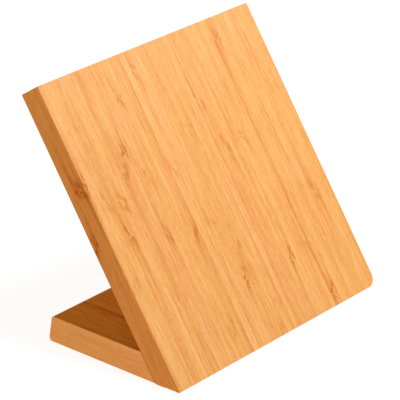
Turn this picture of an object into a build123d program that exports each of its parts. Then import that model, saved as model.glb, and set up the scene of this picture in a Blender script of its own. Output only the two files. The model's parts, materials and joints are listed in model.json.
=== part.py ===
from build123d import *

import math
import os

# Magnetic knife board: a panel of two bamboo plies that leans back on a bamboo base. Two rows of magnets lie
# in grooves behind the front ply's thin skin, each with a steel keeper strip behind it.
# Frame, in millimetres: +X runs along the board's width, -Y is the side that holds the knives, +Z is up.
# The origin is the centre of the footprint, on the surface that the rubber feet stand on.

# Boards
WIDTH = 240.0  # of the panel and the base, side to side
PANEL_LENGTH = 247.0  # of the front face, up the slope
LEAN = 33.5  # degrees between the panel and the vertical
FRONT_PLY = 12.0  # thickness of the ply that holds the magnets
BACK_PLY = 8.0  # thickness of the ply that closes the grooves
CORNER_RADIUS = 8.0  # of the panel's rounded bottom corner
PANEL_EASE = 0.8  # radius that softens the panel's edges
BASE_THICKNESS = 22.0
BASE_REACH = 132.0  # from the panel's front edge to the base's rear edge, along the underside
REAR_BEVEL = 10.0  # degrees between the base's rear end and the vertical
REAR_ROUND = 3.2  # radius of the base's two rear edges
BASE_EASE = 0.8  # radius that softens the edges of the base's sides

# Magnets, in two rows across the face
SKIN = 2.5  # bamboo left between a magnet and the front face
ROWS = {"upper": 205.0, "lower": 115.0}  # height of each row up the slope
MAGNETS_PER_ROW = 5
MAGNET_LENGTH = 36.0
MAGNET_HEIGHT = 20.0
MAGNET_THICKNESS = 8.0
MAGNET_GAP = 4.0
MAGNET_CORNER = 0.6
GROOVE_PLAY = 0.5  # groove width beyond the magnets' height

# Joint between panel and base: dowels and pocket screws square to the panel's back
JOINT_HEIGHT = 12.0  # of the fixings' axes where they cross the joint, above the boards' underside
DOWEL_OFFSET = 95.0  # from the middle to each dowel
DOWEL_RADIUS = 3.95
DOWEL_HOLE_RADIUS = 4.0
DOWEL_IN_PANEL = 12.0  # depth of its hole in the panel
DOWEL_IN_BASE = 10.0  # depth of its hole in the base
DOWEL_END_GAP = 0.5
DOWEL_CHAMFER = 0.6
SCREW_SPACING = 60.0
SCREW_COUNT = 3
SCREW_IN_PANEL = 15.0  # depth of its hole in the panel
SCREW_END_GAP = 0.5
SCREW_SEAT = 10.0  # bamboo between the joint and the screw's head
THREAD_RADIUS = 2.0
THREAD_ROOT = 1.4
THREAD_PITCH = 1.8
THREAD_RINGS = 6
SCREW_HOLE_RADIUS = 2.05
HEAD_RADIUS = 4.0
HEAD_RIM = 1.2
HEAD_HEIGHT = 2.4
HEAD_CROWN_RADIUS = 2.8
DRIVE_SIZE = 2.6
DRIVE_DEPTH = 1.6
POCKET_RADIUS = 4.75
POCKET_MOUTH = 32.0  # from the joint to where the pocket is clear of the underside
DRILL_PAST = 1.0  # beyond the joint face, so that the hole comes out

# Rubber feet
FOOT_RADIUS = 6.0
FOOT_THICKNESS = 2.0
FOOT_RECESS = 0.8
FOOT_EASE = 0.5
FOOT_OFFSET = 102.0  # from the middle, sideways
FRONT_FOOT = 13.0  # behind the panel's front edge
REAR_FOOT = 118.0  # behind the panel's front edge

# Worked out from the above
SIN = math.sin(math.radians(LEAN))
COS = math.cos(math.radians(LEAN))
TAN = SIN / COS
PANEL_THICKNESS = FRONT_PLY + BACK_PLY
UNDERSIDE = FOOT_THICKNESS - FOOT_RECESS  # height of the boards' underside
FRONT_EASE_LOSS = PANEL_EASE * (1 / math.tan(math.radians(90 - LEAN) / 2) - 1)
BACK_EASE_LOSS = PANEL_EASE * (SIN + COS - 1)
SHARP_DEPTH = PANEL_LENGTH * SIN + PANEL_THICKNESS * COS
FRONT_Y = (BACK_EASE_LOSS - FRONT_EASE_LOSS - SHARP_DEPTH) / 2  # centres the eased panel on the origin
KEEPER_THICKNESS = FRONT_PLY - SKIN - MAGNET_THICKNESS
GROOVE_DEPTH = FRONT_PLY - SKIN
GROOVE_WIDTH = MAGNET_HEIGHT + GROOVE_PLAY
ROW_LENGTH = MAGNETS_PER_ROW * MAGNET_LENGTH + (MAGNETS_PER_ROW - 1) * MAGNET_GAP
GROOVE_LENGTH = ROW_LENGTH + GROOVE_WIDTH
INWARD = Vector(0, COS, -SIN)  # from the front face towards the back
UPWARD = Vector(0, SIN, COS)  # up the slope of the panel
ON_EDGE = 0.01  # an edge this close to a plane lies in it


def on_slope(along, depth):
    """Side view (y, z) of a point `along` the front face from its bottom edge and `depth` behind the face."""
    return (FRONT_Y + along * SIN + depth * COS, UNDERSIDE + along * COS - depth * SIN)


def depth_of(edge):
    """How far an edge's middle lies behind the front face."""
    middle = edge.center()
    return (middle.Y - FRONT_Y) * COS - (middle.Z - UNDERSIDE) * SIN


def behind_joint(edge):
    """Whether an edge's middle lies clear behind the joint between panel and base."""
    return depth_of(edge) > PANEL_THICKNESS + ON_EDGE


def panel_plane(depth):
    """Plane parallel to the front face, `depth` behind it: x to the right, y up the slope, z to the front."""
    origin = Vector(0, FRONT_Y, UNDERSIDE) + INWARD * depth
    return Plane(origin=origin, x_dir=(1, 0, 0), z_dir=-INWARD)


def ply_outline(near, far):
    """Side view of a ply between two depths: square at the top, cut flat with the underside at the bottom."""
    return [
        on_slope(near * TAN, near),
        on_slope(PANEL_LENGTH, near),
        on_slope(PANEL_LENGTH, far),
        on_slope(far * TAN, far),
    ]


def joint_point(x):
    """Where a fixing's axis crosses the face between panel and base."""
    y, z = on_slope((JOINT_HEIGHT + PANEL_THICKNESS * SIN) / COS, PANEL_THICKNESS)
    return Vector(x, y, z)


def into_panel(xs):
    """Planes on the joint whose holes run into the panel."""
    return [Plane(origin=joint_point(x), x_dir=(1, 0, 0), z_dir=INWARD) for x in xs]


def into_base(xs):
    """Planes on the joint whose holes run into the base."""
    return [Plane(origin=joint_point(x), x_dir=(1, 0, 0), z_dir=-INWARD) for x in xs]


def screw_pockets(xs):
    """Planes below the underside whose holes run up through the base, square to the joint."""
    mouth = INWARD * POCKET_MOUTH
    return [Plane(origin=joint_point(x) + mouth, x_dir=(1, 0, 0), z_dir=INWARD) for x in xs]


dowel_xs = {"left": -DOWEL_OFFSET, "right": DOWEL_OFFSET}
screw_xs = [(i - (SCREW_COUNT - 1) / 2) * SCREW_SPACING for i in range(SCREW_COUNT)]
magnet_xs = [
    (i - (MAGNETS_PER_ROW - 1) / 2) * (MAGNET_LENGTH + MAGNET_GAP) for i in range(MAGNETS_PER_ROW)
]
foot_spots = {
    "front_left": (-FOOT_OFFSET, FRONT_Y + FRONT_FOOT),
    "front_right": (FOOT_OFFSET, FRONT_Y + FRONT_FOOT),
    "rear_left": (-FOOT_OFFSET, FRONT_Y + REAR_FOOT),
    "rear_right": (FOOT_OFFSET, FRONT_Y + REAR_FOOT),
}


def make_face_board():
    """Front ply: rounded bottom right corner, two magnet grooves from behind, holes for dowels and screws."""
    with BuildPart() as face_board:
        with BuildSketch(Plane.YZ):
            with BuildLine():
                Polyline(*ply_outline(0, FRONT_PLY), close=True)
            make_face()
        extrude(amount=WIDTH / 2, both=True)
        fillet(face_board.edges().filter_by(Axis.Y).sort_by(Axis.X)[-1], CORNER_RADIUS)
        fillet(face_board.edges().filter_by(lambda edge: depth_of(edge) < FRONT_PLY - ON_EDGE), PANEL_EASE)
        with BuildSketch(panel_plane(FRONT_PLY)):
            with Locations(*[(0, row) for row in ROWS.values()]):
                SlotOverall(GROOVE_LENGTH, GROOVE_WIDTH)
        extrude(amount=GROOVE_DEPTH, mode=Mode.SUBTRACT)
        with Locations(*into_panel(dowel_xs.values())):
            Hole(DOWEL_HOLE_RADIUS, depth=DOWEL_IN_PANEL)
        with Locations(*into_panel(screw_xs)):
            Hole(SCREW_HOLE_RADIUS, depth=SCREW_IN_PANEL)
        with BuildSketch(Plane.XY.offset(UNDERSIDE)):
            with Locations(*foot_spots.values()):
                Circle(FOOT_RADIUS)
        extrude(amount=FOOT_RECESS, mode=Mode.SUBTRACT)
    face_board.part.label = "face_board"
    export_step(face_board.part, "parts/face_board.step")


def make_back_board():
    """Rear ply: same outline, dowel and screw holes right through, part of the front feet's recesses."""
    with BuildPart() as back_board:
        with BuildSketch(Plane.YZ):
            with BuildLine():
                Polyline(*ply_outline(FRONT_PLY, PANEL_THICKNESS), close=True)
            make_face()
        extrude(amount=WIDTH / 2, both=True)
        fillet(back_board.edges().filter_by(Axis.Y).sort_by(Axis.X)[-1], CORNER_RADIUS)
        outer = back_board.edges().filter_by(lambda edge: depth_of(edge) > FRONT_PLY + ON_EDGE)
        fillet(outer.filter_by(lambda edge: edge.center().Z > UNDERSIDE + ON_EDGE), PANEL_EASE)
        with Locations(*into_panel(dowel_xs.values())):
            Hole(DOWEL_HOLE_RADIUS, depth=DOWEL_IN_PANEL)
        with Locations(*into_panel(screw_xs)):
            Hole(SCREW_HOLE_RADIUS, depth=SCREW_IN_PANEL)
        with BuildSketch(Plane.XY.offset(UNDERSIDE)):
            with Locations(*foot_spots.values()):
                Circle(FOOT_RADIUS)
        extrude(amount=FOOT_RECESS, mode=Mode.SUBTRACT)
    back_board.part.label = "back_board"
    export_step(back_board.part, "parts/back_board.step")


def make_base_board():
    """Base: front end cut to the panel's lean, rear end bevelled and rounded, screw pockets and dowel holes."""
    joint_foot = on_slope(PANEL_THICKNESS * TAN, PANEL_THICKNESS)
    joint_top = on_slope((BASE_THICKNESS + PANEL_THICKNESS * SIN) / COS, PANEL_THICKNESS)
    rear_foot = (FRONT_Y + BASE_REACH, UNDERSIDE)
    rear_top = (rear_foot[0] - BASE_THICKNESS * math.tan(math.radians(REAR_BEVEL)), joint_top[1])
    with BuildPart() as base_board:
        with BuildSketch(Plane.YZ):
            with BuildLine():
                Polyline(joint_foot, joint_top, rear_top, rear_foot, close=True)
            make_face()
        extrude(amount=WIDTH / 2, both=True)
        rear_edges = base_board.edges().filter_by(Axis.X).filter_by(behind_joint)
        fillet(rear_edges, REAR_ROUND)
        side_edges = base_board.faces().filter_by(Axis.X).edges().filter_by(behind_joint)
        fillet(side_edges, BASE_EASE)
        with Locations(*into_base(dowel_xs.values())):
            Hole(DOWEL_HOLE_RADIUS, depth=DOWEL_IN_BASE)
        with Locations(*screw_pockets(screw_xs)):
            CounterBoreHole(
                SCREW_HOLE_RADIUS,
                counter_bore_radius=POCKET_RADIUS,
                counter_bore_depth=POCKET_MOUTH - SCREW_SEAT,
                depth=POCKET_MOUTH + DRILL_PAST,
            )
        with BuildSketch(Plane.XY.offset(UNDERSIDE)):
            with Locations(*foot_spots.values()):
                Circle(FOOT_RADIUS)
        extrude(amount=FOOT_RECESS, mode=Mode.SUBTRACT)
    base_board.part.label = "base_board"
    export_step(base_board.part, "parts/base_board.step")


def make_magnet(label, x, row):
    """Ferrite bar against the front ply's skin."""
    with BuildPart() as magnet:
        with BuildSketch(panel_plane(SKIN)):
            with Locations((x, row)):
                RectangleRounded(MAGNET_LENGTH, MAGNET_HEIGHT, MAGNET_CORNER)
        extrude(amount=-MAGNET_THICKNESS)
    magnet.part.label = label
    export_step(magnet.part, f"parts/{label}.step")


def make_keeper(label, row):
    """Steel strip behind a row of magnets, flush with the glue face."""
    with BuildPart() as keeper:
        with BuildSketch(panel_plane(SKIN + MAGNET_THICKNESS)):
            with Locations((0, row)):
                Rectangle(ROW_LENGTH, MAGNET_HEIGHT)
        extrude(amount=-KEEPER_THICKNESS)
    keeper.part.label = label
    export_step(keeper.part, f"parts/{label}.step")


def make_dowel(label, x):
    """Beech dowel across the joint, with chamfered ends."""
    length = DOWEL_IN_PANEL + DOWEL_IN_BASE - 2 * DOWEL_END_GAP
    start = joint_point(x) - INWARD * (DOWEL_IN_PANEL - DOWEL_END_GAP)
    with BuildPart() as dowel:
        with BuildSketch(Plane(origin=start, x_dir=(1, 0, 0), z_dir=INWARD)):
            Circle(DOWEL_RADIUS)
        extrude(amount=length)
        chamfer(dowel.edges().filter_by(GeomType.CIRCLE), DOWEL_CHAMFER)
    dowel.part.label = label
    export_step(dowel.part, f"parts/{label}.step")


def screw_outline():
    """Half section of a screw, as (radius, distance from the joint): point, ringed thread, shank and head."""
    thread_end = -THREAD_PITCH / 2
    thread_start = thread_end - THREAD_RINGS * THREAD_PITCH
    outline = [(0, SCREW_END_GAP - SCREW_IN_PANEL), (THREAD_ROOT, thread_start)]
    for ring in range(THREAD_RINGS):
        foot = thread_start + ring * THREAD_PITCH
        outline.append((THREAD_RADIUS, foot + THREAD_PITCH / 2))
        outline.append((THREAD_ROOT, foot + THREAD_PITCH))
    outline += [
        (THREAD_ROOT, SCREW_SEAT),
        (HEAD_RADIUS, SCREW_SEAT),
        (HEAD_RADIUS, SCREW_SEAT + HEAD_RIM),
        (HEAD_CROWN_RADIUS, SCREW_SEAT + HEAD_HEIGHT),
        (0, SCREW_SEAT + HEAD_HEIGHT),
    ]
    return outline


def make_joint_screws():
    """Three pocket screws, square to the joint, with square drives."""
    with BuildPart() as joint_screws:
        for x in screw_xs:
            with BuildSketch(Plane(origin=joint_point(x), x_dir=(1, 0, 0), z_dir=UPWARD)):
                with BuildLine():
                    Polyline(*screw_outline(), close=True)
                make_face()
            revolve(axis=Axis(joint_point(x), INWARD))
            crown = joint_point(x) + INWARD * (SCREW_SEAT + HEAD_HEIGHT)
            with BuildSketch(Plane(origin=crown, x_dir=(1, 0, 0), z_dir=INWARD)):
                Rectangle(DRIVE_SIZE, DRIVE_SIZE)
            extrude(amount=-DRIVE_DEPTH, mode=Mode.SUBTRACT)
    joint_screws.part.label = "joint_screws"
    export_step(joint_screws.part, "parts/joint_screws.step")


def make_foot(label, spot):
    """Rubber pad, part of its thickness let into the boards."""
    with BuildPart() as foot:
        with BuildSketch(Plane.XY):
            with Locations(spot):
                Circle(FOOT_RADIUS)
        extrude(amount=FOOT_THICKNESS)
        fillet(foot.edges().filter_by(GeomType.CIRCLE).sort_by(Axis.Z)[0], FOOT_EASE)
    foot.part.label = label
    export_step(foot.part, f"parts/{label}.step")


os.makedirs("parts", exist_ok=True)
make_face_board()
make_back_board()
make_base_board()
for row_name, row in ROWS.items():
    make_keeper(f"{row_name}_keeper_strip", row)
    for number, x in enumerate(magnet_xs, start=1):
        make_magnet(f"{row_name}_magnet_{number}", x, row)
for side, x in dowel_xs.items():
    make_dowel(f"{side}_dowel", x)
make_joint_screws()
for corner, spot in foot_spots.items():
    make_foot(f"{corner}_foot", spot)
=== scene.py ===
import json
import math
import random
from collections import namedtuple

import bmesh
import bpy
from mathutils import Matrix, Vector


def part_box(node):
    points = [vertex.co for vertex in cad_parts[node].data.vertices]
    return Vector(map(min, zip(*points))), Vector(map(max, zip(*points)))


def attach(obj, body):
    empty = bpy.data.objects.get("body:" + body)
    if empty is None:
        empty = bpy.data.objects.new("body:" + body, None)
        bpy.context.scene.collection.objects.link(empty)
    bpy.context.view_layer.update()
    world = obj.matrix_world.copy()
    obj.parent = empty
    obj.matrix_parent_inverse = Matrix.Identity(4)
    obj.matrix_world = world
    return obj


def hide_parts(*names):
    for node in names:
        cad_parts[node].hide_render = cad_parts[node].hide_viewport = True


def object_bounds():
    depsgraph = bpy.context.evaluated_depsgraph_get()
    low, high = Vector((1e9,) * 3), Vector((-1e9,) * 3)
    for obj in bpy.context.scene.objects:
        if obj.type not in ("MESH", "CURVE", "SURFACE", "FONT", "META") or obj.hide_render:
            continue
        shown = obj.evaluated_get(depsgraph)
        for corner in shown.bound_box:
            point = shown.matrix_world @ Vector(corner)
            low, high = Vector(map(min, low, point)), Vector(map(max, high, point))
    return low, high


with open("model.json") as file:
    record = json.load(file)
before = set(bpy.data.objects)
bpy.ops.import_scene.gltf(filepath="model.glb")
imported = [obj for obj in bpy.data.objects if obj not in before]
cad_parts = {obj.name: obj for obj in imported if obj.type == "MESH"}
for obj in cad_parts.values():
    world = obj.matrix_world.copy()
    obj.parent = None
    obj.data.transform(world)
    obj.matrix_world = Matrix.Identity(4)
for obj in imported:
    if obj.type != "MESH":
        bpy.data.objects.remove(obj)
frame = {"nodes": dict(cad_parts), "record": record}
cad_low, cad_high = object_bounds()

# Magnetic knife board: two plies of side-pressed bamboo lean back on a bamboo base. Metres, with the frame's
# axes: +X across the board, -Y towards the knives, +Z up. Board coordinates are in millimetres: across the
# staves, along the fibres, and deep, which is into the board from its show face.

MM = 0.001
WELD = 2e-6  # vertices closer than this are one corner of the board
FLAT = math.radians(0.6)  # faces that meet flatter than this are one face
CREASE = math.radians(35)  # edges that meet more sharply than this shade as edges
TOWARDS = 0.7  # a face looks in a direction when its normal has more than this share of it
SHOW_FACE, EDGES, FAR_FACE = 0, 1, 2  # a board's material slots


# ---------------------------------------------------------------- boards

Stave = namedtuple("Stave", "width tone rim marks")
# width in mm; tone from -2, dark, to 2, light; how dense and dark the culm's rim is, from 0 to 3, with a
# minus where the rim is on the left; marks where the culm's nodes cross the stave, as (distance along the
# board in mm, strength from 0 to 1)

FACE_STAVES = [
    Stave(3.5, -1, 0, [(166, 1.0)]),
    Stave(7.5, 1, 0, [(85, 0.4)]),
    Stave(7.0, 0, 1, [(148, 0.6)]),
    Stave(7.0, -1, -1, [(119, 0.9)]),
    Stave(8.0, 1, 0, [(144, 0.7)]),
    Stave(6.5, 0, 1, [(60, 0.4)]),
    Stave(7.0, -1, -2, [(161, 0.7)]),
    Stave(7.0, 1, 0, [(177, 1.0)]),
    Stave(6.0, 0, -1, [(108, 0.7)]),
    Stave(6.5, 0, 0, [(152, 0.5)]),
    Stave(6.0, 0, 1, [(218, 0.7)]),
    Stave(7.5, 0, 1, [(22, 0.5)]),
    Stave(7.0, -1, 2, [(101, 0.7)]),
    Stave(6.5, 2, 0, [(152, 0.4)]),
    Stave(5.5, 0, -1, [(230, 0.6), (17, 0.2)]),
    Stave(8.5, 1, 0, [(98, 0.5)]),
    Stave(7.5, 0, 1, [(52, 0.9)]),
    Stave(6.0, -1, -1, [(74, 0.4)]),
    Stave(7.0, 0, 1, [(176, 0.4), (7, 0.4)]),
    Stave(8.0, 1, 2, [(26, 0.4)]),
    Stave(6.0, 1, 0, []),
    Stave(7.0, 0, -2, [(191, 0.7)]),
    Stave(6.5, 0, 1, [(152, 0.5)]),
    Stave(7.0, 1, 1, [(238, 0.3)]),
    Stave(6.5, 0, -1, [(52, 0.8)]),
    Stave(8.0, 1, 0, [(151, 0.5)]),
    Stave(5.5, 0, -1, [(191, 0.2)]),
    Stave(5.5, 0, 0, [(54, 0.5)]),
    Stave(8.5, 0, -3, [(230, 0.7), (12, 0.8)]),
    Stave(6.0, 1, 0, []),
    Stave(6.0, 0, 1, []),
    Stave(8.0, 1, 0, [(52, 0.3)]),
    Stave(9.0, 0, -1, [(90, 0.6), (205, 0.2)]),
    Stave(6.0, 1, 0, []),
    Stave(7.5, 0, 1, [(130, 0.2)]),
    Stave(1.5, 0, 0, []),
]
BACK_EDGE_STAVES = [Stave(7.0, 0, 0, [(123, 1.0)])]
BASE_EDGE_STAVES = [
    Stave(5.5, -2, -2, []),
    Stave(7.5, 0, 0, []),
    Stave(7.0, 0, 1, []),
    Stave(7.0, 0, 0, []),
    Stave(7.5, -1, 3, []),
    Stave(8.0, 1, 0, []),
    Stave(6.5, 0, -2, []),
    Stave(7.0, -1, 0, []),
    Stave(8.0, 0, 1, []),
]

# What random staves are drawn from
WIDTHS = (5.5, 8.5)  # mm, narrowest and widest
TONES = (-2, -1, 0, 0, 0, 1, 1, 2)
RIMS = (-3, -1, 0, 0, 1, 2)
NODE_SPACING = 260  # mm of culm to each node mark, on average
NODE_PLACES = (0.05, 0.95)  # shares of the board's length, nearest to its low and high end
NODE_STRENGTHS = (0.3, 1.0)  # weakest and strongest


def fill_staves(width, length, first, seed):
    """Staves that fill `width`, in mm: the `first` ones, at the board's left edge, then random ones."""
    rng = random.Random(seed)
    staves = list(first)
    filled = sum(stave.width for stave in staves)
    while filled < width:
        stave_width = min(rng.uniform(*WIDTHS), width - filled)
        place = rng.uniform(*NODE_PLACES) * length
        has_node = rng.random() < length / NODE_SPACING
        marks = [(place, rng.uniform(*NODE_STRENGTHS))] if has_node else []
        tone = rng.choice(TONES)
        staves.append(Stave(stave_width, tone, rng.choice(RIMS), marks))
        filled += stave_width
    return staves


Board = namedtuple("Board", "node origin along deep staves")
# node is in the CAD; origin is where board coordinates begin; along and deep are their directions


def face_frame():
    """The middle of the panel's bottom front edge, and the directions up the slope and into the panel."""
    mount = next(m for m in frame["record"]["mounts"] if m["name"] == "knife_face")
    outward = Vector(mount["axis"]).normalized()
    upslope = outward.cross(Vector((1, 0, 0))).normalized()
    on_face = Vector(mount["pos_m"])
    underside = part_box("base_board")[0].z
    origin = on_face + upslope * (underside - on_face.z) / upslope.z
    return origin, upslope, -outward


def board_point(board, point):
    """A point of the row frame in board coordinates, in mm: across, along, deep."""
    offset = (point - board.origin) / MM
    return Vector((offset.x, offset.dot(board.along), offset.dot(board.deep)))


def stave_edges(staves):
    """Where each stave begins, across the board in mm, and where the last one ends."""
    total = sum(stave.width for stave in staves)
    edges = [-total / 2]
    for stave in staves:
        edges.append(edges[-1] + stave.width)
    return edges


def split_at_staves(mesh, edges):
    """Cuts the board's surface along every glue line between two staves."""
    for edge in edges[1:-1]:
        geometry = mesh.verts[:] + mesh.edges[:] + mesh.faces[:]
        at = Vector((edge * MM, 0, 0))
        bmesh.ops.bisect_plane(mesh, geom=geometry, plane_co=at, plane_no=(1, 0, 0), dist=WELD)


FACE_LAYERS = (
    "stave",  # where the stave begins and ends across the face, in mm, and its tone
    "character",  # its two random numbers, and its rim
    "marks",  # how far along the board its two node marks are, in mm
    "strengths",  # how strong they are
    "facing",  # 1 on the board's sides, and how much end grain shows
)
NO_MARK = (-1000.0, 0.0)  # far off the board, for a stave with fewer than two marks
END_GRAIN = 0.4  # a face with more end grain than this has the material of the board's edges


def stave_characters(seed, staves):
    """Two random numbers for each stave: which culm it is from, 0 to 1, and how much its node marks lean and
    turn, -1 to 1."""
    rng = random.Random(seed)
    return [(rng.random(), rng.choice((-1.0, 1.0)) * rng.uniform(0.5, 1.0)) for _ in staves]


def write_board_layers(mesh, board, edges, seed):
    """Board coordinates on the corners, and each stave's own values on its faces, for the bamboo shader.
    A face on the board's side shows a stave's broad side, so it runs between the ply's two faces instead."""
    grain = mesh.verts.layers.float_vector.new("grain")
    for vert in mesh.verts:
        vert[grain] = board_point(board, vert.co)
    depths = [vert[grain].z for vert in mesh.verts]
    ply = (min(depths), max(depths))
    layers = [mesh.faces.layers.float_vector.new(name) for name in FACE_LAYERS]
    characters = stave_characters(seed, board.staves)
    for face in mesh.faces:
        across = face.calc_center_median().x / MM
        index = max(i for i in range(len(board.staves)) if i == 0 or across >= edges[i])
        stave = board.staves[index]
        side = abs(face.normal.x) > TOWARDS
        end = face.normal.dot(board.along) ** 4  # 1 on end grain, 0 along the fibres
        places, strengths = zip(*(list(stave.marks) + [NO_MARK] * 2)[:2])
        values = (
            (*ply, 0.0) if side else (edges[index], edges[index + 1], stave.tone),
            (*characters[index], 0.0 if side else stave.rim),
            (*places, 0.0),
            (*strengths, 0.0),
            (1.0 if side else 0.0, end, 0.0),
        )
        for layer, value in zip(layers, values):
            face[layer] = value
        if side or end > END_GRAIN:
            face.material_index = EDGES
        elif face.normal.dot(board.deep) > TOWARDS:
            face.material_index = FAR_FACE
        else:
            face.material_index = SHOW_FACE


def make_board(name, board, materials, seed):
    """The board's surface, cut along its glue lines, with clean shading over its eased edges."""
    edges = stave_edges(board.staves)
    mesh = bmesh.new()
    mesh.from_mesh(frame["nodes"][board.node].data)
    bmesh.ops.remove_doubles(mesh, verts=mesh.verts, dist=WELD)
    bmesh.ops.dissolve_limit(mesh, angle_limit=FLAT, verts=mesh.verts, edges=mesh.edges)
    split_at_staves(mesh, edges)
    mesh.normal_update()
    write_board_layers(mesh, board, edges, seed)
    for face in mesh.faces:
        face.smooth = True
    for edge in mesh.edges:
        edge.smooth = len(edge.link_faces) == 2 and edge.calc_face_angle() < CREASE
    data = bpy.data.meshes.new(name)
    mesh.to_mesh(data)
    mesh.free()
    for material in materials:
        data.materials.append(material)
    piece = bpy.data.objects.new(name, data)
    bpy.context.scene.collection.objects.link(piece)
    weighted = piece.modifiers.new("flat faces", "WEIGHTED_NORMAL")
    weighted.keep_sharp = True
    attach(piece, "root")
    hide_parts(board.node)
    return piece


# ---------------------------------------------------------------- shaders


def srgb(red, green, blue):
    """A screen colour, 0 to 255, as the linear colour that shaders take."""
    shares = [c / 255 for c in (red, green, blue)]
    return tuple(c / 12.92 if c <= 0.04045 else ((c + 0.055) / 1.055) ** 2.4 for c in shares) + (1.0,)


class Shader:
    """Builds one material's nodes. An input may be a number, a vector, a colour or a node's output."""

    def __init__(self, name):
        self.material = bpy.data.materials.new(name)
        self.material.use_nodes = True
        self.tree = self.material.node_tree
        self.tree.nodes.clear()

    def node(self, kind, inputs=(), **settings):
        made = self.tree.nodes.new(kind)
        for key, value in settings.items():
            setattr(made, key, value)
        for key, value in dict(inputs).items():
            if isinstance(value, bpy.types.NodeSocket):
                self.tree.links.new(value, made.inputs[key])
            else:
                made.inputs[key].default_value = value
        return made

    def math(self, operation, *values):
        return self.node("ShaderNodeMath", enumerate(values), operation=operation).outputs[0]

    def absolute(self, value):
        return self.math("ABSOLUTE", value)

    def add(self, *values):
        total = values[0]
        for value in values[1:]:
            total = self.math("ADD", total, value)
        return total

    def times(self, *values):
        total = values[0]
        for value in values[1:]:
            total = self.math("MULTIPLY", total, value)
        return total

    def less(self, a, b):
        return self.math("SUBTRACT", a, b)

    def rise(self, value, low, high):
        """0 below `low`, 1 above `high`, smooth between."""
        inputs = {"Value": value, "From Min": low, "From Max": high, "To Min": 0.0, "To Max": 1.0}
        return self.node("ShaderNodeMapRange", inputs, interpolation_type="SMOOTHSTEP").outputs[0]

    def fall(self, value, low, high):
        """1 below `low`, 0 above `high`, smooth between."""
        return self.less(1.0, self.rise(value, low, high))

    def attribute(self, name):
        return self.node("ShaderNodeAttribute", attribute_name=name).outputs["Vector"]

    def split(self, vector):
        return self.node("ShaderNodeSeparateXYZ", {0: vector}).outputs[:3]

    def join(self, x, y, z):
        return self.node("ShaderNodeCombineXYZ", {0: x, 1: y, 2: z}).outputs[0]

    def shift(self, vector, by):
        return self.node("ShaderNodeVectorMath", {0: vector, 1: by}, operation="ADD").outputs[0]

    def scale(self, vector, by):
        return self.node("ShaderNodeVectorMath", {0: vector, 1: by}, operation="MULTIPLY").outputs[0]

    def noise(self, vector, stretch, detail=2.0):
        """Noise from 0 to 1 with `stretch` features per millimetre along each axis."""
        inputs = {"Vector": self.scale(vector, stretch), "Scale": 1.0, "Detail": detail}
        return self.node("ShaderNodeTexNoise", inputs).outputs["Fac"]

    def cells(self, vector, stretch):
        """Distance to the nearest of the scattered points, `stretch` of them per millimetre."""
        inputs = {"Vector": self.scale(vector, stretch), "Scale": 1.0}
        return self.node("ShaderNodeTexVoronoi", inputs).outputs["Distance"]

    def mix(self, share, first, second, blend_type="MIX"):
        inputs = {0: share, 6: first, 7: second}
        settings = {"data_type": "RGBA", "blend_type": blend_type, "clamp_factor": True}
        return self.node("ShaderNodeMix", inputs, **settings).outputs[2]

    def blend(self, share, *stops):
        """Colour along a ramp of (place, colour) stops."""
        ramp = self.node("ShaderNodeValToRGB", {0: share})
        elements = ramp.color_ramp.elements
        while len(elements) < len(stops):
            elements.new(1.0)
        for element, (place, colour) in zip(elements, stops):
            element.position = place
            element.color = colour
        return ramp.outputs[0]

    def finish(self, colour, roughness, height, depth, **constants):
        """Principled surface. `height` is the relief from 0 to 1, which is `depth` millimetres deep."""
        bump = self.node("ShaderNodeBump", {"Height": height, "Distance": depth * MM, "Strength": 1.0})
        inputs = {"Base Color": colour, "Roughness": roughness, "Normal": bump.outputs[0]}
        inputs.update({key.replace("_", " "): value for key, value in constants.items()})
        surface = self.node("ShaderNodeBsdfPrincipled", inputs)
        output = self.node("ShaderNodeOutputMaterial")
        self.tree.links.new(surface.outputs[0], output.inputs[0])
        return self.material


Bamboo = namedtuple("Bamboo", "light middle dark streak dashes mark burn scorch roughness gloss")
# light, middle and dark: fibres; streak: dashes among the fibres, and glue; dashes: how much they show;
# mark: node marks; burn: their darkest parts; scorch: how burnt the marks are all over
PANEL_FACES = Bamboo(
    light=srgb(229, 172, 109),
    middle=srgb(217, 152, 82),
    dark=srgb(198, 127, 52),
    streak=srgb(188, 114, 44),
    dashes=0.30,
    mark=srgb(190, 107, 12),
    burn=srgb(152, 78, 4),
    scorch=0.0,
    roughness=0.30,
    gloss=0.3,
)
# The panel's sides and ends: deeper orange than its faces, partly the staves' own broad sides and partly
# painted shade on the board's sides
PANEL_EDGES_DEEP_AND_SHADED = Bamboo(
    light=srgb(238, 152, 76),
    middle=srgb(218, 135, 57),
    dark=srgb(198, 116, 28),
    streak=srgb(188, 108, 30),
    dashes=0.10,
    mark=srgb(198, 104, 6),
    burn=srgb(164, 78, 2),
    scorch=0.5,
    roughness=0.45,
    gloss=0.05,
)
# The base's top: a darker, deeper orange copy of the bamboo, painted shade for the shadow of the leaning
# panel over it
BASE_TOP_PAINTED_SHADE = Bamboo(
    light=srgb(233, 157, 62),
    middle=srgb(227, 142, 34),
    dark=srgb(176, 90, 6),
    streak=srgb(168, 84, 6),
    dashes=0.25,
    mark=srgb(170, 86, 10),
    burn=srgb(146, 70, 6),
    scorch=0.0,
    roughness=0.46,
    gloss=0.02,
)
BASE_EDGES = Bamboo(
    light=srgb(250, 172, 96),
    middle=srgb(237, 156, 79),
    dark=srgb(222, 138, 54),
    streak=srgb(196, 112, 36),
    dashes=0.15,
    mark=srgb(188, 104, 12),
    burn=srgb(150, 74, 4),
    scorch=0.6,
    roughness=0.50,
    gloss=0.05,
)
ROSY = (1.01, 0.94, 1.03, 1.0)  # the tints that the fibres drift between
STRAW = (1.0, 1.05, 0.96, 1.0)

BoardSize = namedtuple("BoardSize", "width length thickness mitre")
# in mm, of the whole board; mitre is how far its low end climbs per millimetre of depth

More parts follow.
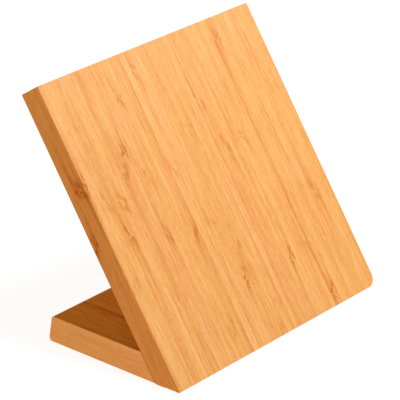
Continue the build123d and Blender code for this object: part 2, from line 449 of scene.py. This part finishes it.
Spot = namedtuple("Spot", "grain across bent low high tone culm turn rim heights strengths end")
# what the shader knows of the point it shades: grain, its board coordinates; across, its place across the
# face, in mm; bent, its place among the fibres of its own culm; the rest is from the layers on the faces


def read_spot(s):
    """The Spot that shader `s` shades."""
    grain = s.attribute("grain")
    across, _, deep = s.split(grain)
    low, high, tone = s.split(s.attribute("stave"))
    culm, turn, rim = s.split(s.attribute("character"))
    heights = s.split(s.attribute("marks"))[:2]
    strengths = s.split(s.attribute("strengths"))[:2]
    side, end, _ = s.split(s.attribute("facing"))
    across_face = s.add(s.times(across, s.less(1.0, side)), s.times(deep, side))

    # Every stave is cut from another culm; its fibres wander a little along the board
    own = s.shift(grain, s.join(s.times(culm, 131.0), s.times(culm, 517.0), s.times(culm, 59.0)))
    wander = s.times(s.less(s.noise(own, (0.03, 0.012, 0.03), detail=1.0), 0.5), 5.0)
    bent = s.shift(own, s.join(wander, 0.0, wander))
    return Spot(grain, across_face, bent, low, high, tone, culm, turn, rim, heights, strengths, end)


def rim_density(s, spot):
    """How much of the culm's rim shows. The rim, where fibres are dense, is along one edge of a stave."""
    share = s.math("DIVIDE", s.less(spot.across, spot.low), s.less(spot.high, spot.low))
    from_rim = s.add(0.5, s.times(s.math("SIGN", spot.rim), s.less(0.5, share)))
    near_rim = s.times(s.math("POWER", s.fall(from_rim, -0.3, 1.0), 1.7), s.absolute(spot.rim))
    return s.times(near_rim, s.add(0.2, s.noise(spot.grain, (0.10, 0.012, 0.10), detail=1.0)))


def fibre_level(s, spot, near_rim):
    """How pale the bamboo is, mostly 0 to 1, from long, short and fine fibres and the stave's own tone."""
    layers = (  # features per mm across and along the fibres, and how much they show
        (0.70, 0.003, 0.55),
        (0.50, 0.012, 0.65),
        (0.85, 0.040, 0.65),
        (0.80, 0.200, 0.60),
        (0.20, 0.040, 0.25),
        (2.20, 0.070, 0.60),
        (0.90, 1.200, 0.50),
    )
    shades = [
        s.times(s.less(s.noise(spot.bent, (across, along, across)), 0.5), strength)
        for across, along, strength in layers
    ]
    return s.add(0.55, s.times(near_rim, -0.20), *shades, s.times(spot.tone, 0.07))


def fibre_colour(s, spot, colours, level, dashes, near_rim):
    """Pale and dark fibres, with dark dashes, mostly near the rim, and a drift between two tints."""
    colour = s.blend(level, (0.0, colours.dark), (0.5, colours.middle), (1.0, colours.light))
    dash_share = s.add(colours.dashes, s.times(near_rim, 0.3))
    colour = s.mix(s.times(dashes, dash_share), colour, colours.streak)
    hue = s.add(s.noise(spot.bent, (0.15, 0.014, 0.15)), s.times(s.less(spot.culm, 0.5), 0.15))
    tint = s.blend(hue, (0.25, ROSY), (0.75, STRAW))
    return s.mix(1.0, colour, tint, blend_type="MULTIPLY")


def glue_lines(s, spot):
    """Glue between two staves, from 0 to 1. It shows in stretches."""
    to_joint = s.math("MINIMUM", s.less(spot.across, spot.low), s.less(spot.high, spot.across))
    stretches = s.rise(s.noise(spot.grain, (0.2, 0.02, 0.2)), 0.45, 0.65)
    return s.times(s.fall(to_joint, 0.05, 0.4), stretches)


def nearer_node(s, along, heights, strengths):
    """Height in mm above the nearer of the two culm nodes a stave may have, and that node's strength."""
    first, second = [s.less(along, height) for height in heights]
    second_nearer = s.math("LESS_THAN", s.absolute(second), s.absolute(first))
    above = s.add(first, s.times(second_nearer, s.less(second, first)))
    strength = s.add(strengths[0], s.times(second_nearer, s.less(strengths[1], strengths[0])))
    return above, strength


def node_mark(s, above, lean, half, veins):
    """A culm node crossing a stave, from 0 to a little over 1: a slanted band of dark veins, darkest at its
    two ends, with a tail from each end that fades out along the fibres. `lean` runs across the stave, and
    `half` is half its width."""
    share = s.math("DIVIDE", lean, half)
    off_band = s.absolute(s.add(above, s.times(share, 1.8)))
    band = s.times(s.fall(off_band, 1.0, 7.5), s.fall(s.absolute(share), 0.8, 1.3))
    mark = s.times(band, s.add(0.08, s.times(veins, 0.75)))
    for end in (-1.0, 1.0):
        aside = s.absolute(s.add(lean, s.times(half, 0.5 * end)))
        beyond = s.times(s.less(above, 3.0 * end), end)
        blot = s.times(s.fall(aside, 0.3, 3.2), s.fall(s.absolute(beyond), 0.5, 6.5), 0.26)
        tail = s.times(s.fall(aside, 0.2, 2.0), s.rise(beyond, -1.0, 2.0), s.fall(beyond, 2.0, 38.0), 0.42)
        mark = s.add(mark, blot, tail)
    return mark


def add_node_marks(s, spot, colours, colour):
    """The colour with the stave's node marks over it, where the fibres swerve aside and back."""
    strayed = s.shift(spot.grain, s.join(s.times(spot.culm, 40.0), s.times(spot.culm, 90.0), 0.0))
    sway = s.times(s.less(s.noise(strayed, (0.30, 0.18, 0.30)), 0.5), 3.0)
    slide = s.times(s.less(s.noise(strayed, (0.45, 0.12, 0.45)), 0.5), 9.0)
    along = s.split(spot.grain)[1]
    above, strength = nearer_node(s, s.add(along, slide), spot.heights, spot.strengths)
    above = s.math("DIVIDE", above, s.add(0.85, s.times(strength, 0.6)))  # strong marks are large
    swerve = s.times(above, s.fall(s.absolute(above), 0.0, 9.0), spot.turn, 0.8)
    veins = s.noise(s.shift(spot.bent, s.join(swerve, 0.0, swerve)), (0.48, 0.09, 0.48))
    veins = s.rise(veins, 0.44, 0.58)

    middle = s.times(s.add(spot.low, spot.high), 0.5)
    lean = s.times(s.add(s.less(spot.across, middle), sway), spot.turn)
    half = s.times(s.less(spot.high, spot.low), 0.5)
    mark = s.times(node_mark(s, above, lean, half, veins), strength)
    glow = s.times(s.fall(s.absolute(above), 2.0, 20.0), strength, s.add(0.08, s.times(veins, 0.16)))
    flecks = s.times(s.fall(s.absolute(above), 1.0, 8.0), s.less(1.0, veins), strength, 0.35)
    colour = s.mix(flecks, colour, colours.light)
    colour = s.mix(s.add(glow, s.times(mark, 0.80)), colour, colours.mark)
    darkest = s.times(s.rise(mark, 0.50, 1.2), 0.40)
    return s.mix(s.math("MAXIMUM", darkest, s.times(mark, colours.scorch)), colour, colours.burn)


def edge_distance(s, spot, size):
    """Distance in mm to the nearest edge where two faces of the board meet. The shaded point is on a face,
    so one of the three distances below is zero, and the edge is at the middle one."""
    across, along, deep = s.split(spot.grain)
    to_side = s.less(size.width / 2, s.absolute(across))
    to_end = s.math("MINIMUM", s.less(size.length, along), s.less(along, s.times(deep, size.mitre)))
    to_face = s.math("MINIMUM", deep, s.less(size.thickness, deep))
    nearest = s.math("MINIMUM", s.math("MINIMUM", to_side, to_end), to_face)
    farthest = s.math("MAXIMUM", s.math("MAXIMUM", to_side, to_end), to_face)
    return s.less(s.add(to_side, to_end, to_face), s.add(nearest, farthest))


def bamboo(name, colours, size):
    """Side-pressed bamboo: fibres, glue lines, node marks, end grain, and edges made paler partly by wear
    and partly by a painted highlight.
    """
    s = Shader(name)
    spot = read_spot(s)
    near_rim = rim_density(s, spot)
    level = fibre_level(s, spot, near_rim)
    dashes = s.rise(s.noise(spot.bent, (1.5, 0.045, 1.5), detail=1.0), 0.60, 0.72)
    colour = fibre_colour(s, spot, colours, level, dashes, near_rim)
    glue = glue_lines(s, spot)
    colour = s.mix(s.times(glue, 0.35), colour, colours.streak)
    colour = add_node_marks(s, spot, colours, colour)

    # End grain: cut fibre bundles, darker than the faces
    bundles = s.fall(s.cells(spot.bent, (0.95, 0.02, 0.95)), 0.16, 0.36)
    cut = s.mix(s.add(0.30, s.times(bundles, 0.5)), colour, colours.burn)
    colour = s.mix(s.times(spot.end, 0.8), colour, cut)

    # Edges a little paler in places: partly wear, partly a painted highlight where the eased edges catch the
    # light
    places = s.rise(s.noise(spot.grain, (0.15, 0.15, 0.15)), 0.35, 0.65)
    edge_wear_and_highlight = s.times(s.fall(edge_distance(s, spot, size), 0.3, 1.8), places)
    colour = s.mix(s.times(edge_wear_and_highlight, 0.25), colour, colours.light)

    roughness = s.add(colours.roughness, s.times(level, 0.1), s.times(spot.end, 0.2))
    sunk = s.add(s.times(dashes, 0.3), s.times(glue, 0.6), s.times(bundles, spot.end, 0.5))
    height = s.less(s.times(level, 0.5), sunk)
    return s.finish(colour, roughness, height, depth=0.08, IOR=1.45, Specular_IOR_Level=colours.gloss)


def solid_point(s):
    """The shaded point in millimetres of the row frame."""
    at = s.node("ShaderNodeTexCoord").outputs["Object"]
    return s.scale(at, (1 / MM, 1 / MM, 1 / MM))


def ferrite():
    """Pressed and fired magnets: near-black and cloudy, with pale grit that stands out a little."""
    s = Shader("ferrite")
    at = solid_point(s)
    grit = s.rise(s.noise(at, (2.5, 2.5, 2.5), detail=3.0), 0.56, 0.72)
    cloud = s.noise(at, (0.12, 0.12, 0.12))
    colour = s.blend(cloud, (0.3, srgb(38, 38, 40)), (0.7, srgb(62, 61, 62)))
    colour = s.mix(s.times(grit, 0.5), colour, srgb(104, 102, 100))
    return s.finish(colour, s.add(0.55, s.times(cloud, 0.2)), grit, depth=0.05)


def rolled_steel():
    """Keeper strips: steel with fine rolling lines along it and a patchy film of oil."""
    s = Shader("rolled_steel")
    at = solid_point(s)
    lines = s.noise(at, (0.05, 3.0, 3.0), detail=3.0)
    film = s.noise(at, (0.06, 0.06, 0.06))
    colour = s.blend(lines, (0.3, srgb(150, 151, 152)), (0.7, srgb(190, 190, 190)))
    colour = s.mix(s.times(s.rise(film, 0.5, 0.7), 0.4), colour, srgb(136, 130, 122))
    return s.finish(colour, s.add(0.25, s.times(lines, 0.25)), lines, depth=0.01, Metallic=1.0)


def zinc():
    """Screws: yellow-passivated zinc, duller in patches."""
    s = Shader("zinc")
    at = solid_point(s)
    patches = s.noise(at, (0.5, 0.5, 0.5), detail=3.0)
    colour = s.blend(patches, (0.35, srgb(176, 152, 98)), (0.65, srgb(208, 196, 158)))
    return s.finish(colour, s.add(0.22, s.times(patches, 0.3)), patches, depth=0.01, Metallic=1.0)


def beech():
    """Dowels: pale beech with short dark flecks."""
    s = Shader("beech")
    at = solid_point(s)
    grain = s.noise(at, (0.9, 0.15, 0.25), detail=3.0)
    flecks = s.rise(s.noise(at, (3.0, 0.5, 0.8)), 0.60, 0.70)
    colour = s.blend(grain, (0.3, srgb(196, 150, 108)), (0.7, srgb(222, 182, 140)))
    colour = s.mix(s.times(flecks, 0.6), colour, srgb(150, 98, 62))
    return s.finish(colour, s.add(0.6, s.times(grain, 0.1)), flecks, depth=0.03)


def rubber():
    """Feet: dark, matte, grainy rubber with patches of dust."""
    s = Shader("foot_rubber")
    at = solid_point(s)
    grain = s.noise(at, (4.0, 4.0, 4.0))
    dust = s.rise(s.noise(at, (0.5, 0.5, 0.5), detail=3.0), 0.5, 0.7)
    colour = s.blend(grain, (0.3, srgb(30, 30, 31)), (0.7, srgb(46, 46, 47)))
    colour = s.mix(s.times(dust, 0.35), colour, srgb(96, 94, 90))
    return s.finish(colour, s.add(0.65, s.times(dust, 0.2)), grain, depth=0.04)


# ---------------------------------------------------------------- the knife board

panel_origin, upslope, inward = face_frame()
front = Board("face_board", panel_origin, upslope, inward, FACE_STAVES)
panel_size = BoardSize(
    width=sum(stave.width for stave in FACE_STAVES),
    length=max(board_point(front, v.co).y for v in frame["nodes"]["face_board"].data.vertices),
    thickness=max(board_point(front, v.co).z for v in frame["nodes"]["back_board"].data.vertices),
    mitre=inward.z / -upslope.z,
)
rear_staves = fill_staves(panel_size.width, panel_size.length, BACK_EDGE_STAVES, seed=7)
rear = Board("back_board", panel_origin, upslope, inward, rear_staves)

base_low, base_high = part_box("base_board")
base_size = BoardSize(
    width=panel_size.width,
    length=(base_high.y - base_low.y) / MM,
    thickness=(base_high.z - base_low.z) / MM,
    mitre=0.0,
)
base_origin = Vector((0, base_low.y, base_high.z))
base_staves = fill_staves(base_size.width, base_size.length, BASE_EDGE_STAVES, seed=21)
base = Board("base_board", base_origin, Vector((0, 1, 0)), Vector((0, 0, -1)), base_staves)

panel_faces = bamboo("panel_faces", PANEL_FACES, panel_size)
# The panel's edge bamboo carries painted shade as well as the staves' deeper orange
panel_edges_deep_and_shaded = bamboo("panel_edges_deep_and_shaded", PANEL_EDGES_DEEP_AND_SHADED, panel_size)
panel_bamboo = (panel_faces, panel_edges_deep_and_shaded, panel_faces)  # in the order of a board's material slots
# The base's bamboo; the colours of its top are darkened with painted shade
base_bamboo = (
    bamboo("base_top_painted_shade", BASE_TOP_PAINTED_SHADE, base_size),
    bamboo("base_edges", BASE_EDGES, base_size),
    bamboo("base_underside", PANEL_FACES, base_size),
)
make_board("front_ply", front, panel_bamboo, seed=3)
make_board("rear_ply", rear, panel_bamboo, seed=8)
make_board("base", base, base_bamboo, seed=9)

finishes = {
    "ferrite": ferrite(),
    "keeper_steel": rolled_steel(),
    "screw_steel": zinc(),
    "beech": beech(),
    "foot_rubber": rubber(),
}
for part in frame["record"]["subparts"]:
    if part["material_slot"] in finishes:
        for slot in frame["nodes"][part["node"]].material_slots:
            slot.material = finishes[part["material_slot"]]


# ---------------------------------------------------------------- stage, light and camera


FLOOR_REACH = 20.0  # m from the object, so that its edge is far outside the view
FLOOR_GLOW = 0.85  # makes the floor as white as the photograph's ground, and leaves a soft shadow on it


def make_floor():
    """Plain white floor under the object."""
    mesh = bmesh.new()
    bmesh.ops.create_grid(mesh, x_segments=8, y_segments=8, size=FLOOR_REACH)
    data = bpy.data.meshes.new("floor")
    mesh.to_mesh(data)
    mesh.free()
    s = Shader("paper")
    tooth = s.noise(solid_point(s), (0.5, 0.5, 0.5))
    colour = s.blend(tooth, (0.3, (0.28, 0.28, 0.28, 1)), (0.7, (0.30, 0.30, 0.30, 1)))
    glow = {"Emission_Color": (1.0, 1.0, 1.0, 1.0), "Emission_Strength": FLOOR_GLOW}
    data.materials.append(s.finish(colour, 0.9, tooth, depth=0.0, Specular_IOR_Level=0.0, **glow))
    floor = bpy.data.objects.new("floor", data)
    bpy.context.scene.collection.objects.link(floor)


def make_lamp(name, at, aim, size, power, colour):
    """A round soft lamp, `size` metres across and `power` watts strong."""
    data = bpy.data.lights.new(name, "AREA")
    data.shape = "DISK"
    data.size = size
    data.energy = power
    data.color = colour
    lamp = bpy.data.objects.new(name, data)
    lamp.location = at
    lamp.rotation_mode = "QUATERNION"
    lamp.rotation_quaternion = (aim - at).to_track_quat("-Z", "Y")
    bpy.context.scene.collection.objects.link(lamp)


def make_sky(strength):
    """Even white light from all round."""
    world = bpy.data.worlds.new("studio")
    world.use_nodes = True
    sky = world.node_tree.nodes["Background"]
    sky.inputs["Color"].default_value = (1.0, 1.0, 1.0, 1.0)
    sky.inputs["Strength"].default_value = strength
    bpy.context.scene.world = world


AZIMUTH = math.radians(49.59)  # of the view, from +Y towards +X
ELEVATION = math.radians(24.08)  # of the camera, above the object
DISTANCE = 1.882  # m
LENS = 221.6  # mm
AIM_OFFSET = Vector((-0.0060, 0.0011, -0.0086))  # m, from the object's middle, for the photograph's framing


def make_camera(aim):
    """The photograph's view."""
    data = bpy.data.cameras.new("camera")
    data.lens = LENS
    data.clip_end = 100.0
    camera = bpy.data.objects.new("camera", data)
    level = math.cos(ELEVATION)
    forward = Vector((math.sin(AZIMUTH) * level, math.cos(AZIMUTH) * level, -math.sin(ELEVATION)))
    camera.location = aim - forward * DISTANCE
    camera.rotation_mode = "QUATERNION"
    camera.rotation_quaternion = forward.to_track_quat("-Z", "Y")
    bpy.context.scene.collection.objects.link(camera)
    bpy.context.scene.camera = camera


middle = (cad_low + cad_high) / 2
make_floor()
make_sky(strength=0.4)
key_at = middle + Vector((0.28, -0.59, 1.23))
make_lamp("key", key_at, middle, size=0.84, power=17.3, colour=(1.0, 0.99, 0.97))
sheen_at = middle + Vector((0.75, -0.55, 0.72))
make_lamp("sheen", sheen_at, middle, size=0.4, power=2.1, colour=(1.0, 1.0, 1.0))
make_camera(middle + AIM_OFFSET)
bpy.context.scene.view_settings.view_transform = "Standard"
